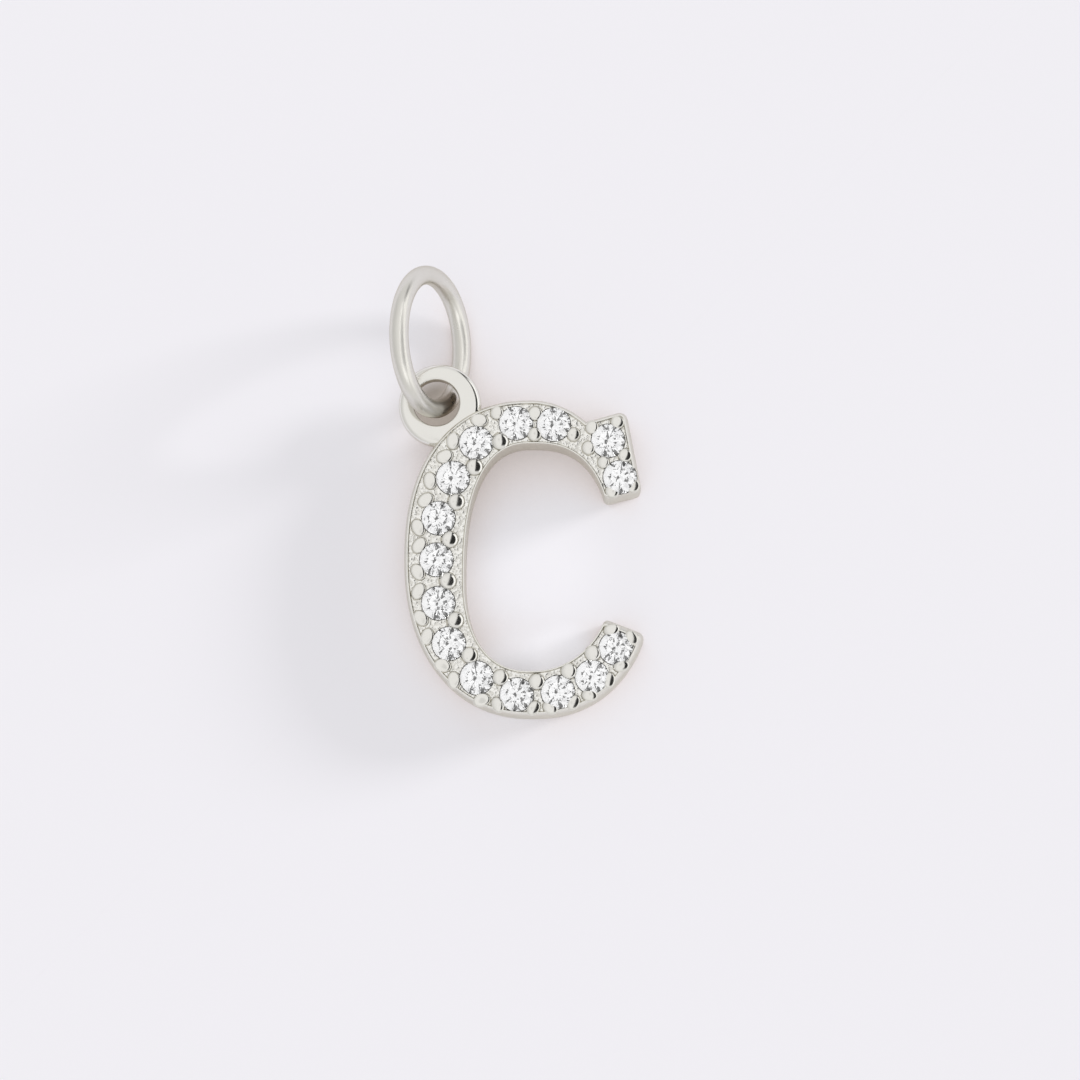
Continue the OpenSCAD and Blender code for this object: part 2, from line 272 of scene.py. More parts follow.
def arc(centre, a, b, full, t0, t1, share0, share1=None):
    """A superellipse's arc, its first point left out. A point's third number rounds a corner,
    and its fourth is the share of the shoulder on the side that leads to it."""
    last = share0 if share1 is None else share1
    return [
        (
            centre[0] + a * signed_power(cos(t0 + (t1 - t0) * i / ARC_STEPS), 2 / full),
            centre[1] + b * signed_power(sin(t0 + (t1 - t0) * i / ARC_STEPS), 2 / full),
            0,
            share0 + (last - share0) * i / ARC_STEPS,
        )
        for i in range(1, ARC_STEPS + 1)
    ]


def angle_at(y, b, full):
    return math.copysign(math.degrees(math.asin((abs(y) / b) ** (full / 2))), y)


def end_corner(centre, a, b, full, y_share, radius, share):
    y = y_share * HALF_H
    t = angle_at(y - centre[1], b, full)
    return (centre[0] + a * signed_power(cos(t), 2 / full), y, radius, share)


def corner(place, radius, share):
    return (place[0] * HALF_W, place[1] * HALF_H, radius, share)


def letter_outline():
    """The letter's outline, counter-clockwise from the top. The points of an arc that lie within a
    rounded corner are left out."""
    middle = (0, COUNTER_MID * HALF_H)
    left, right = HALF_W - STROKE_SIDE, COUNTER_RIGHT * HALF_W
    top = HALF_H - STROKE_TOP - middle[1]
    foot = HALF_H - STROKE_FOOT + middle[1]
    foot_end = angle_at(FOOT_OUTER_END * HALF_H, HALF_H, OUTER_FULL)
    inner_foot = angle_at(FOOT_INNER_END * HALF_H - middle[1], foot, FOOT_FULL)
    inner_top = angle_at(SERIF_INNER_END * HALF_H - middle[1], top, SERIF_FULL)
    notch = math.degrees(math.acos((SERIF_NOTCH[0] / ARM_REACH) ** (ARM_FULL / 2)))
    outer = ((0, 0), HALF_W, HALF_H, OUTER_FULL)
    low_inner, top_inner = (middle, right, foot, FOOT_FULL), (middle, right, top, SERIF_FULL)
    left_side, crest = HALF_W + LEFT_SWELL, HALF_H + TOP_SWELL
    return (
        arc((0, 0), left_side, crest, OUTER_FULL, 90, 180, LEFT_SHARE)
        + arc((0, 0), left_side, HALF_H, LOWER_FULL, 180, 270, LEFT_SHARE)
        + arc(*outer, 270, 360 + foot_end, LEFT_SHARE, FOOT_SHARE)[:-3]
        + [end_corner(*outer, FOOT_OUTER_END, FOOT_CORNER_R, FOOT_SHARE)]
        + [end_corner(*low_inner, FOOT_INNER_END, INNER_CORNER_R, FOOT_SHARE)]
        + arc(*low_inner, inner_foot, -90, COUNTER_SHARE)[2:]
        + arc(middle, left, foot, LOW_LEFT_FULL, 270, 180, COUNTER_SHARE)
        + arc(middle, left, top, TOP_LEFT_FULL, 180, 90, COUNTER_SHARE)
        + arc(*top_inner, 90, inner_top, COUNTER_SHARE)[:-3]
        + [end_corner(*top_inner, SERIF_INNER_END, INNER_CORNER_R, COUNTER_SHARE)]
        + [corner(SERIF_FOOT, SERIF_FOOT_R, SERIF_SHARE)]
        + [corner(SERIF_TOP, SERIF_TOP_R, SERIF_SHARE)]
        + arc((0, 0), ARM_REACH * HALF_W, crest, ARM_FULL, notch, 90, LEFT_SHARE)
    )


def inset(path, shoulder, level):
    """The outline moved inwards by each side's share of the shoulder and by a level width, its
    rounding tightened."""
    moved = []
    for i, here in enumerate(path):
        before, after = path[i - 1], path[(i + 1) % len(path)]
        b = Vector(here[:2])
        into = (b - Vector(before[:2])).normalized()
        out = (Vector(after[:2]) - b).normalized()
        side, next_side = Vector((-into.y, into.x)), Vector((-out.y, out.x))
        width, next_width = (shoulder * edge[3] + level for edge in (here, after))
        if side.dot(next_side) > SMOOTH_TURN:
            way = (side + next_side).normalized()
            point = b + way * (width + next_width) / 2 / way.dot(side)
        else:
            point = b + Vector(
                (
                    width * next_side.y - next_width * side.y,
                    next_width * side.x - width * next_side.x,
                )
            ) / side.cross(next_side)
        radius = max(here[2] - (width + next_width) / 2, FIELD_CORNER_R) if here[2] else 0
        moved.append((*point, radius))
    return moved


def rounded(path):
    """The outline's points, each corner turned into a short arc."""
    points = []
    for i, here in enumerate(path):
        b = Vector(here[:2])
        if here[2] == 0:
            points.append(b)
            continue
        u = (Vector(path[i - 1][:2]) - b).normalized()
        v = (Vector(path[(i + 1) % len(path)][:2]) - b).normalized()
        half = math.acos(u.dot(v)) / 2
        centre = b + (u + v).normalized() * here[2] / math.sin(half)
        first = b + u * here[2] / math.tan(half) - centre
        last = b + v * here[2] / math.tan(half) - centre
        turn = math.copysign(math.pi - 2 * half, first.cross(last))
        for step in range(CORNER_STEPS + 1):
            t = turn * step / CORNER_STEPS
            points.append(
                centre
                + Vector(
                    (
                        first.x * math.cos(t) - first.y * math.sin(t),
                        first.x * math.sin(t) + first.y * math.cos(t),
                    )
                )
            )
    return points


def quarter(radius, steps):
    """A quarter round from upright to level: how far in and how far up it has come."""
    return [
        (radius * (1 - cos(t)), radius * sin(t)) for t in (90 * i / steps for i in range(steps + 1))
    ]


def letter_section():
    """The letter's section from its back to its field: the shoulder's inset, the level inset and
    the height."""
    back = [(0, x, BACK_ROUND - z) for x, z in reversed(quarter(BACK_ROUND, BACK_STEPS))]
    side = [(x, 0, z) for x, z in SHOULDER]
    shoulder, top = SHOULDER[-1]
    return [
        *back, *side, (shoulder, RIM_TOP_W, top), (shoulder, RIM_TOP_W + RIM_SLOPE, FIELD_Z)
    ]


def model_letter():
    """The flat-backed letter with its soft shoulder, its rim and its sunk field."""
    sharp = letter_outline()
    return draw_up(
        [(rounded(inset(sharp, soft, level)), height) for soft, level, height in letter_section()]
    )


def circle_points(centre, radius):
    return [
        (centre[0] + radius * cos(t), centre[1] + radius * sin(t))
        for t in (360 * i / EYELET_STEPS for i in range(EYELET_STEPS))
    ]


def model_eyelet():
    """Flat eyelet with rounded edges, its hole a little off its middle."""
    low, high = LETTER_T - EYELET_DROP - EYELET_T, LETTER_T - EYELET_DROP

    def section(radius):
        rise = [(x, high - radius + z) for x, z in quarter(radius, EDGE_STEPS)]
        return [(x, low + high - z) for x, z in reversed(rise)] + rise

    outside = [(circle_points(EYELET_XY, EYELET_D / 2 - x), z) for x, z in section(EYELET_ROUND)]
    inside = [
        (circle_points(HOLE_XY, HOLE_D / 2 + x), z) for x, z in reversed(section(HOLE_ROUND))
    ]
    return draw_up([*outside, *inside, outside[0]], lids=False)


def shared_place(i, j, lap, side, diameter):
    """Centre of a bead that touches two stones, on one side of the row."""
    a, b = stones[i], stones[j]
    reach = STONE_R * (1 - lap) + diameter / 2
    along = (b - a).normalized()
    away = math.sqrt(max(0, reach**2 - (b - a).length_squared / 4))
    return (a + b) / 2 + side * Vector((-along.y, along.x)) * away


def model_bead(diameter, spread, rise, flat):
    """A raised bead: a ball whose upper half is lowered, flattened on top and leans back along X
    over its stone. Its lower half stays in the metal."""
    bead = start(
        bpy.ops.mesh.primitive_uv_sphere_add,
        segments=BEAD_STEPS, ring_count=BEAD_RINGS, radius=diameter / 2,
    )
    top = diameter / 2 * BEAD_TOP
    bpy.ops.object.mode_set(mode="EDIT")
    pick("VERT", lambda vert: vert.co.z > top)
    bpy.ops.transform.resize(value=(1, 1, flat), center_override=(0, 0, top))
    crown = top + (diameter / 2 - top) * flat
    pick("VERT", lambda vert: vert.co.z > -MERGE)
    bpy.ops.transform.resize(value=(1, 1, rise), center_override=(0, 0, 0))
    bpy.ops.mesh.select_all(action="SELECT")
    bpy.ops.transform.resize(value=(1, spread, 1), center_override=(0, 0, 0))
    pick("VERT", lambda vert: vert.co.z > crown * rise - MERGE)
    bpy.ops.transform.translate(
        value=(-BEAD_LEAN * diameter, 0, 0), use_proportional_edit=True,
        proportional_edit_falloff="SMOOTH", proportional_size=LEAN_REACH * diameter,
    )
    bpy.ops.object.mode_set(mode="OBJECT")
    return bead


def bead_shape(stone):
    if stone <= LAST_ROUND:
        return ROUND_BEAD
    return FLAT_BEAD if stone <= LAST_FLAT else OVAL_BEAD


def model_beads():
    height, places = FIELD_Z + BEAD_RISE, {}
    for stone, lap, ways in BEADS:
        shape = bead_shape(stone)
        for t in ways:
            way = Vector((cos(t), sin(t)))
            place = stones[stone] + (STONE_R * (1 - lap - BEAD_LAP) + shape[0] / 2) * way
            places.setdefault(shape, []).append((*place, height, math.radians(t)))
    for i, j, lap, side, breadth, *height_shares in SHARED_BEADS:
        place = shared_place(i, j, lap, side, breadth)
        out = place - (stones[i] + stones[j]) / 2
        turn = math.atan2(out.y, out.x)
        places.setdefault((breadth, 1, *height_shares), []).append((*place, height, turn))
    return joined([copies(model_bead(*shape), spots) for shape, spots in places.items()])


def model_seat():
    """The space of one stone's seat with its light hole: a profile spun round."""
    widened = [
        (r * STONE_R + (SEAT_GAP if r else 0), h * STONE_R + (-SEAT_GAP if h < 0 else SEAT_GAP))
        for r, h in STONE_PROFILE
    ]
    hole_r = LIGHT_HOLE_D / 2
    # The light hole meets the seat's cone where the cone is as wide as the hole.
    (r0, h0), (r1, h1) = widened[1], widened[2]
    meet = h0 + (hole_r - r0) / (r1 - r0) * (h1 - h0)
    low = -GIRDLE_Z - PAST_BACK
    profile = [(0, low), (hole_r, low), (hole_r, meet), *widened[2:]]
    profile.append((0, widened[-1][1]))
    seat = start(bpy.ops.mesh.primitive_circle_add, vertices=len(profile), radius=1)
    bpy.ops.object.mode_set(mode="EDIT")
    hand = bmesh.from_edit_mesh(seat.data)
    for vert, (r, h) in zip(hand.verts, profile):
        vert.co = (r, 0, h)
    bmesh.update_edit_mesh(seat.data)
    pick("EDGE", lambda edge: all(abs(v.co.x) < WALL_MERGE for v in edge.verts))
    bpy.ops.mesh.delete(type="EDGE")
    spin_round(SEAT_STEPS)
    return seat


def model_setting():
    setting = model_letter()
    boolean(setting, model_eyelet(), "UNION")
    boolean(setting, model_beads(), "UNION")
    seats = copies(model_seat(), [(*place, GIRDLE_Z, 0) for place in stones])
    boolean(setting, seats, "DIFFERENCE")
    return finish_piece(
        setting, "cast_letter", "letter_setting", SETTING_SMOOTH
    )


def model_ring():
    """A round wire's section spun into a closed ring, then leaned through the eyelet."""
    low, high = (v / MM - LETTER_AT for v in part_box("jump_ring"))
    centre = (low + high) / 2
    reach = (RING_D - WIRE_D) / 2
    ring = start(
        bpy.ops.mesh.primitive_circle_add,
        vertices=WIRE_STEPS, radius=WIRE_D / 2,
        location=(reach, 0, 0), rotation=(math.pi / 2, 0, 0),
    )
    bpy.ops.object.mode_set(mode="EDIT")
    spin_round(RING_STEPS)
    bpy.ops.object.transform_apply()
    ring.rotation_euler = (math.radians(RING_LEAN), 0, math.radians(RING_TURN))
    ring.location = centre
    bpy.ops.object.transform_apply()
    return finish_piece(ring, "jump_ring_wire", "jump_ring", RING_SMOOTH)


setting = model_setting()
ring = model_ring()


# Finishes. Colours are linear. Silver seen at a slant is a little darker and warmer.
EDGE_TINT = (0.74, 0.72, 0.66, 1)
POLISHED, TUMBLED = (0.88, 0.868, 0.83, 1), (0.82, 0.805, 0.755, 1)
FIELD_DARK, FIELD_LIGHT = (0.78, 0.765, 0.72, 1), (1.0, 0.99, 0.955, 1)
WIRE_DARK, WIRE_LIGHT = (0.77, 0.755, 0.71, 1), (0.8, 0.785, 0.74, 1)
# Painted shade in the eyelet's hole, where the ring hangs: the silver there is painted dull brown.
PAINTED_HOLE_SHADE = (0.56, 0.52, 0.47, 1)
# Breadth and relief of the field's grain, and the relief of the hairlines on the setting and on
# the wire, in millimetres.
GRAIN_W, GRAIN_RELIEF, HAIRLINE_RELIEF, WIRE_RELIEF = 0.09, 0.05, 0.0004, 0.0006
# How rough each finish is where its haze is least and most, and how much rougher or smoother
# than polished metal.
POLISHED_ROUGH, WIRE_ROUGH, STONE_ROUGH = (0.1, 0.17), (0.27, 0.33), (0.0, 0.03)
TUMBLED_ROUGHER, FIELD_SMOOTHER = 0.24, 0.12
# Breadth of the lumps of haze and of the hairlines in millimetres, how hairlines are squeezed
# along each axis, and between what levels of the lumps haze comes up.
HAZE_W, HAIRLINE_W, HAIRLINE_SQUEEZE = 0.9, 0.3, (1.0, 9.0, 4.0)
HAZE_LEVELS, STONE_HAZE_W, STONE_HAZE_LEVELS = (0.3, 0.7), 0.25, (0.4, 0.8)
# The grain's coarse part: its scale as a share of the fine part's, the share of each in the
# height, and between what levels of the fine part the tone turns from dark to light.
COARSE_SCALE, FINE_SHARE, COARSE_SHARE, GRAIN_TURN = 0.35, 0.7, 0.3, (0.41, 0.58)
# Where one finish fades into the next, in millimetres: from the field's height downwards and
# upwards, from the rim's top upwards, and the painted shade from the hole's wall outwards and from
# its top down. The tumbled finish is whole at this share of the eyelet's radius from its middle.
FIELD_BELOW, FIELD_ABOVE, TUMBLED_ABOVE = (-0.02, -0.01), (0.01, 0.05), (0.005, 0.03)
HOLE_WALL, PAINTED_SHADE_DEPTH, TUMBLED_CLEAR = (0.01, 0.05), 0.12, 1.06
# The same by how level the metal lies, where 1 is flat.
FIELD_LEVEL, TUMBLED_LEVEL = (0.4, 0.8), (0.8, 0.96)
# How far from the middle of the eyelet's hole the wire carries painted shade, in millimetres.
WIRE_SHADE_REACH = (0.5, 0.95)
# Breadth of a stone's small facets in millimetres, and how far each tilts.
CELL_W, CELL_TILT = 0.19, 0.035
STONE_TONE, STONE_IOR = (0.98, 0.985, 1.0, 1), 2.15


def new_group(name, inputs, outputs):
    """An empty node group with its number, colour or vector sockets named."""
    group = bpy.data.node_groups.new(name, "ShaderNodeTree")
    for side, sockets in (("INPUT", inputs), ("OUTPUT", outputs)):
        for label, (kind, value) in sockets.items():
            socket = group.interface.new_socket(
                label, in_out=side, socket_type="NodeSocket" + kind
            )
            if value is not None:
                socket.default_value = value
    return group


class Bench:
    """Adds nodes to a tree and links them by name."""

    def __init__(self, tree):
        self.tree = tree

    def add(self, kind, settings=None, **inputs):
        node = self.tree.nodes.new("ShaderNode" + kind if kind[:4] != "Node" else kind)
        for key, value in (settings or {}).items():
            setattr(node, key, value)
        for key, value in inputs.items():
            self.put(node.inputs[self.slot(key)], value)
        return node

    @staticmethod
    def slot(key):
        """The socket that a keyword names: its number after an underscore, or its name."""
        if key[1:].isdigit():
            return int(key[1:])
        return key.replace("_", " ")

    def put(self, socket, value):
        if isinstance(value, bpy.types.NodeSocket):
            self.tree.links.new(value, socket)
        else:
            socket.default_value = value

    def math(self, operation, a, b):
        return self.add("Math", {"operation": operation}, _0=a, _1=b).outputs[0]

    def product(self, value, *others):
        for other in others:
            value = self.math("MULTIPLY", value, other)
        return value

    def rest(self, share):
        """What a share leaves of the whole."""
        return self.math("SUBTRACT", 1.0, share)

    def vector(self, operation, a, b):
        return self.add("VectorMath", {"operation": operation}, _0=a, _1=b)

    def scaled(self, vector, factor):
        return self.add(
            "VectorMath", {"operation": "SCALE"}, _0=vector, Scale=factor
        ).outputs[0]

    def fade(self, value, low, high, out_low=0.0, out_high=1.0):
        """Smooth change of a value from one level to another."""
        node = self.add(
            "MapRange", {"interpolation_type": "SMOOTHSTEP"},
            Value=value, From_Min=low, From_Max=high, To_Min=out_low, To_Max=out_high,
        )
        return node.outputs[0]

    def band_mm(self, value, low, high, out_low=0.0, out_high=1.0):
        """The same between two lengths in millimetres."""
        return self.fade(value, low * MM, high * MM, out_low, out_high)

    def mix(self, share, a, b):
        node = self.add("Mix", {"data_type": "RGBA"}, Factor=share)
        self.put(node.inputs[6], a)
        self.put(node.inputs[7], b)
        return node.outputs[2]

    def upward(self, vector):
        return self.add("SeparateXYZ", Vector=vector).outputs["Z"]

    def away(self, where, middle, flat=False):
        """How far a point lies from a middle given in the letter's millimetres, or how far it
        lies from there seen from above."""
        if flat:
            where = self.vector("MULTIPLY", where, (1, 1, 0)).outputs[0]
        middle = (LETTER_AT + Vector(middle).to_3d()) * MM
        return self.vector("DISTANCE", where, middle).outputs["Value"]

    def noise(self, where, size_mm, detail):
        """Noise whose lumps are about this size on the charm."""
        return self.add(
            "TexNoise", Vector=where, Scale=1 / (size_mm * MM), Detail=detail
        ).outputs["Fac"]

    def bump(self, relief, shader):
        bump = self.add("Bump", Height=relief, Strength=1.0, Distance=1.0)
        self.put(shader.inputs["Normal"], bump.outputs[0])


def cast_grain():
    """Fine sandy grain left by casting: a height and a tone over the surface."""
    group = new_group(
        "cast grain",
        {"Where": ("Vector", None), "Grain mm": ("Float", 0.05)},
        {"Height": ("Float", None), "Tone": ("Float", None)},
    )
    bench = Bench(group)
    given, made = bench.add("NodeGroupInput"), bench.add("NodeGroupOutput")
    where = given.outputs["Where"]
    scale = bench.math("DIVIDE", 1 / MM, given.outputs["Grain mm"])
    fine = bench.add("TexNoise", Vector=where, Scale=scale, Detail=2.0).outputs["Fac"]
    coarse = bench.add(
        "TexNoise", Vector=where, Scale=bench.product(scale, COARSE_SCALE), Detail=1.0
    ).outputs["Fac"]
    height = bench.math(
        "ADD", bench.product(fine, FINE_SHARE), bench.product(coarse, COARSE_SHARE)
    )
    bench.put(made.inputs["Height"], height)
    bench.put(made.inputs["Tone"], bench.fade(fine, *GRAIN_TURN))
    return group


def polish_wear():
    """Faint haze and hairlines of a polished metal: a roughness change and a height."""
    group = new_group(
        "polish wear",
        {"Where": ("Vector", None)},
        {"Haze": ("Float", None), "Height": ("Float", None)},
    )
    bench = Bench(group)
    given, made = bench.add("NodeGroupInput"), bench.add("NodeGroupOutput")
    where = given.outputs["Where"]
    squeezed = bench.add("Mapping", Vector=where, Scale=HAIRLINE_SQUEEZE).outputs[0]
    bench.put(made.inputs["Haze"], bench.noise(where, HAZE_W, detail=3.0))
    bench.put(made.inputs["Height"], bench.noise(squeezed, HAIRLINE_W, detail=2.0))
    return group


GRAIN, WEAR = cast_grain(), polish_wear()


def new_material(name):
    material = bpy.data.materials.new(name)
    material.use_nodes = True
    material.node_tree.nodes.clear()
    bench = Bench(material.node_tree)
    out = bench.add("OutputMaterial")
    shader = bench.add("BsdfPrincipled")
    bench.put(out.inputs["Surface"], shader.outputs[0])
    where = bench.add("TexCoord").outputs["Object"]
    return material, bench, shader, where


def set_metal(shader):
    shader.inputs["Metallic"].default_value = 1.0
    shader.inputs["Specular Tint"].default_value = EDGE_TINT


def cast_silver():
    """Silver of the setting: polished beads and eyelet, tumbled sides, a grainy field, and painted
    shade on the wall of the eyelet's hole.
    """
    material, bench, shader, where = new_material("cast_silver")
    height = bench.upward(where)
    level = bench.upward(bench.add("NewGeometry").outputs["Normal"])
    on_field = bench.product(
        bench.band_mm(height, *(FIELD_Z + v for v in FIELD_BELOW)),
        bench.band_mm(height, *(FIELD_Z + v for v in FIELD_ABOVE), 1, 0),
        bench.fade(level, *FIELD_LEVEL),
    )
    from_eyelet, eyelet_r = bench.away(where, EYELET_XY, flat=True), EYELET_D / 2
    tumbled = bench.product(
        bench.band_mm(height, *(SHOULDER[-1][1] + v for v in TUMBLED_ABOVE), 1, 0),
        bench.fade(level, *TUMBLED_LEVEL, 1, 0),
        bench.band_mm(from_eyelet, eyelet_r, TUMBLED_CLEAR * eyelet_r),
    )
    from_hole, eyelet_z = bench.away(where, HOLE_XY, flat=True), LETTER_T - EYELET_DROP
    # Painted shade on the wall of the eyelet's hole, fading out towards the hole's top.
    in_hole = bench.product(
        bench.band_mm(from_hole, *(HOLE_D / 2 + v for v in HOLE_WALL), 1, 0),
        bench.band_mm(height, eyelet_z - PAINTED_SHADE_DEPTH, eyelet_z, 1, 0),
    )
    grain = bench.add("Group", {"node_tree": GRAIN}, Where=where)
    grain.inputs["Grain mm"].default_value = GRAIN_W
    wear = bench.add("Group", {"node_tree": WEAR}, Where=where)
    rough = bench.fade(wear.outputs["Haze"], *HAZE_LEVELS, *POLISHED_ROUGH)
    rough = bench.math("ADD", rough, bench.product(tumbled, TUMBLED_ROUGHER))
    rough = bench.math("SUBTRACT", rough, bench.product(on_field, FIELD_SMOOTHER))
    bench.put(shader.inputs["Roughness"], rough)
    field = bench.mix(grain.outputs["Tone"], FIELD_DARK, FIELD_LIGHT)
    colour = bench.mix(on_field, bench.mix(tumbled, POLISHED, TUMBLED), field)
    bench.put(shader.inputs["Base Color"], bench.mix(in_hole, colour, PAINTED_HOLE_SHADE))
    set_metal(shader)
    sand = bench.product(grain.outputs["Height"], on_field, GRAIN_RELIEF * MM)
    hairlines = bench.product(wear.outputs["Height"], HAIRLINE_RELIEF * MM)
    bench.bump(bench.math("ADD", sand, hairlines), shader)
    return material


def ring_silver():
    """Drawn wire, less polished than the setting, with faint haze and hairlines, and painted shade
    where it hangs in the eyelet's hole.
    """
    material, bench, shader, where = new_material("ring_silver")
    wear = bench.add("Group", {"node_tree": WEAR}, Where=where)
    haze = wear.outputs["Haze"]
    bench.put(shader.inputs["Roughness"], bench.fade(haze, *HAZE_LEVELS, *WIRE_ROUGH))
    silver = bench.mix(haze, WIRE_DARK, WIRE_LIGHT)
    # Painted shade on the wire where it hangs in the eyelet's hole.
    in_hole = bench.away(where, (*HOLE_XY, LETTER_T - EYELET_T))
    wire_shade = bench.band_mm(in_hole, *WIRE_SHADE_REACH, 1, 0)
    bench.put(shader.inputs["Base Color"], bench.mix(wire_shade, silver, PAINTED_HOLE_SHADE))
    set_metal(shader)
    bench.bump(bench.product(wear.outputs["Height"], WIRE_RELIEF * MM), shader)
    return material


def clear_stone():
    """Clear cubic zirconia with many small cut facets and the faintest haze of handling."""
    material, bench, shader, where = new_material("clear_stone")
    haze = bench.noise(where, STONE_HAZE_W, detail=2.0)
    rough = bench.fade(haze, *STONE_HAZE_LEVELS, *STONE_ROUGH)
    bench.put(shader.inputs["Roughness"], rough)
    # Each small cell of the surface tilts its own way, as the small facets of the cut do.
    cells = bench.add("TexVoronoi", Vector=where, Scale=1 / (CELL_W * MM)).outputs["Color"]
    tilt = bench.vector("MULTIPLY_ADD", cells, (CELL_TILT,) * 3)
    tilt.inputs[2].default_value = (-CELL_TILT / 2,) * 3
    normal = bench.add("NewGeometry").outputs["Normal"]
    tilted = bench.vector("ADD", normal, tilt.outputs[0]).outputs[0]
    even = bench.add("VectorMath", {"operation": "NORMALIZE"}, _0=tilted).outputs[0]
    bench.put(shader.inputs["Normal"], even)
    shader.inputs["Base Color"].default_value = STONE_TONE
    shader.inputs["Metallic"].default_value = 0.0
    shader.inputs["Transmission Weight"].default_value = 1.0
    shader.inputs["IOR"].default_value = STONE_IOR
    return material


# The ground's own colour and its own light in the open, then both where little light arrives,
# and its light in a close corner, which is warm.
GROUND_MATTE, GROUND_GLOW = (0.36, 0.355, 0.377, 1), (0.516, 0.509, 0.531, 1)
GROUND_SHADE, SHADE_GLOW = (0.34, 0.305, 0.275, 1), (0.136, 0.122, 0.11, 1)
GROUND_WARM = (0.535, 0.45, 0.41, 1)
# How far the ground looks for walls that shade it in millimetres, in how many tries, and between
# what shares of open sky it gets its light and turns from warm to pale.
CORNER_REACH, CORNER_TRIES, LIT_SKY, PALE_SKY = 3, 5, (0.1, 0.55), (0.3, 0.8)
# Breadth of the ground's faint lumps in millimetres, and what they leave of its tone. Then its
# roughness, its gloss, and how far from the eyelet's hole it is shaded.
LUMP_W, LUMP_TONE, GROUND_ROUGH, GROUND_GLOSS, HOLE_SHADE = 40, 0.99, 0.9, 0.1, (0.55, 1.35)
# Light that the polished inner walls throw back on the floor between them: its middle in the
# letter, its reach and its strength.
THROWN_LIGHT = (
    ((1, -3.3, 0), 1.6, 0.19), ((-0.4, -3.9, 0), 2.1, 0.17), ((0.2, -0.3, 0), 3.3, 0.1),
)
# Up to here the thrown light keeps its full strength, and so much paler it makes the ground.
THROWN_FULL, THROWN_PALER = 0.5, 2


def pale_ground():
    """Matte pale surface under the charm, with part of its light given by itself, as light that
    polished walls throw back on a floor isn't traced. It fades in close corners."""
    material, bench, shader, where = new_material("pale_ground")
    lumps = bench.noise(where, LUMP_W, detail=1.0)
    lumpy = (*(LUMP_TONE * v for v in GROUND_MATTE[:3]), 1)
    sky = bench.add("AmbientOcclusion", {"samples": CORNER_TRIES}, Distance=CORNER_REACH * MM)
    open_sky = sky.outputs["AO"]
    # Under the eyelet's hole little light arrives.
    clear = bench.band_mm(bench.away(where, HOLE_XY), *HOLE_SHADE)
    matte = bench.mix(lumps, GROUND_MATTE, lumpy)
    bench.put(shader.inputs["Base Color"], bench.mix(clear, GROUND_SHADE, matte))
    thrown = 0.0
    for middle, reach, strength in THROWN_LIGHT:
        away = bench.away(where, middle)
        light = bench.band_mm(away, THROWN_FULL, reach, strength, 0)
        thrown = bench.math("ADD", thrown, light)
    pale = bench.math("ADD", open_sky, bench.product(thrown, THROWN_PALER))
    glow = bench.mix(bench.fade(pale, *PALE_SKY), GROUND_WARM, GROUND_GLOW)
    lit = bench.product(clear, bench.fade(open_sky, *LIT_SKY))
    glow = bench.scaled(bench.mix(lit, SHADE_GLOW, glow), bench.math("ADD", thrown, 1.0))
    bench.put(shader.inputs["Emission Color"], glow)
    shader.inputs["Emission Strength"].default_value = 1.0
    shader.inputs["Roughness"].default_value = GROUND_ROUGH
    shader.inputs["Specular IOR Level"].default_value = GROUND_GLOSS
    return material


def dress(piece, material):
    piece.data.materials.clear()
    piece.data.materials.append(material)


dress(setting, cast_silver())
dress(ring, ring_silver())
stone_finish = clear_stone()
for name in stone_names:
    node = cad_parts[name]
    for place in range(max(1, len(node.material_slots))):
        if place < len(node.material_slots):
            node.material_slots[place].material = stone_finish
        else:
            node.data.materials.append(stone_finish)


# Ground, light and camera. Azimuth 0 is the charm's right and 90 its top. The ground and the
# sheet that lights the ring are measured in metres.
GROUND_W = 3.0
KEY_AZIMUTH, KEY_ELEVATION, KEY_ENERGY, KEY_SPREAD = 21, 19, 2.85, 15
KEY_TONE = (1.0, 0.985, 0.97)
# The room's brightness near the floor and overhead, the elevations between which it rises, its
# tint, and how much dimmer it is at the left.
ROOM_LOW, ROOM_HIGH, ROOM_RISE, ROOM_TINT = 0.77, 0.89, (20, 72), (1.0, 0.995, 0.985)
LEFT_DIMMER, LEFT_FADE = 0.14, (0.2, 0.7)
# The pale sheet overhead ends at a plane with this normal, shifted off the middle for all but
# what the stones gather. The lamp's screen is brighter, and ends at these angles from its middle
# and at these elevations.
SHEET_NORMAL, SHEET_SHIFT, SHEET_SOFT = (0.978, -0.208, -0.23), 0.11, 0.02
SCREEN_AZIMUTH, SCREEN_ELEVATION, SCREEN_LIGHT = 4, 25, 0.4
SCREEN_SPREAD, SCREEN_LEVELS = (38, 46), (4, 8, 33, 38)
# The elevations of the dark gap, how far it goes towards the foot, and the lens's spread.
GAP_LEVELS, FOOT_FADE, LENS_SPREAD = (6, 12, 88, 89), (0.42, 0.68), (4.5, 6)
# How dark the gap and the camera's lens are, and how much more or less so in the stones.
GAP_DEPTH, GAP_PALER, LENS_DEPTH, LENS_DARKER, STONES_BRIGHTER = 0.97, 0.07, 0.2, 0.6, 0.26
BACKDROP = (0.8796, 0.8632, 0.9047, 1)
FILL_AZIMUTH, FILL_ELEVATION, FILL_ENERGY, FILL_W, FILL_L = -8, 62, 3.2, 0.7, 2.6
# The camera's tip towards the foot and to the side in degrees, and how far it is and where it
# looks in millimetres.
CAMERA_TIP, CAMERA_SIDE, CAMERA_FAR = 4.8, 0.8, 140
CAMERA_AIM = Vector((0.293, 0.604, LETTER_T))
CAMERA_BACK = Vector(
    (sin(CAMERA_SIDE) * cos(CAMERA_TIP), -sin(CAMERA_TIP), cos(CAMERA_SIDE) * cos(CAMERA_TIP))
)
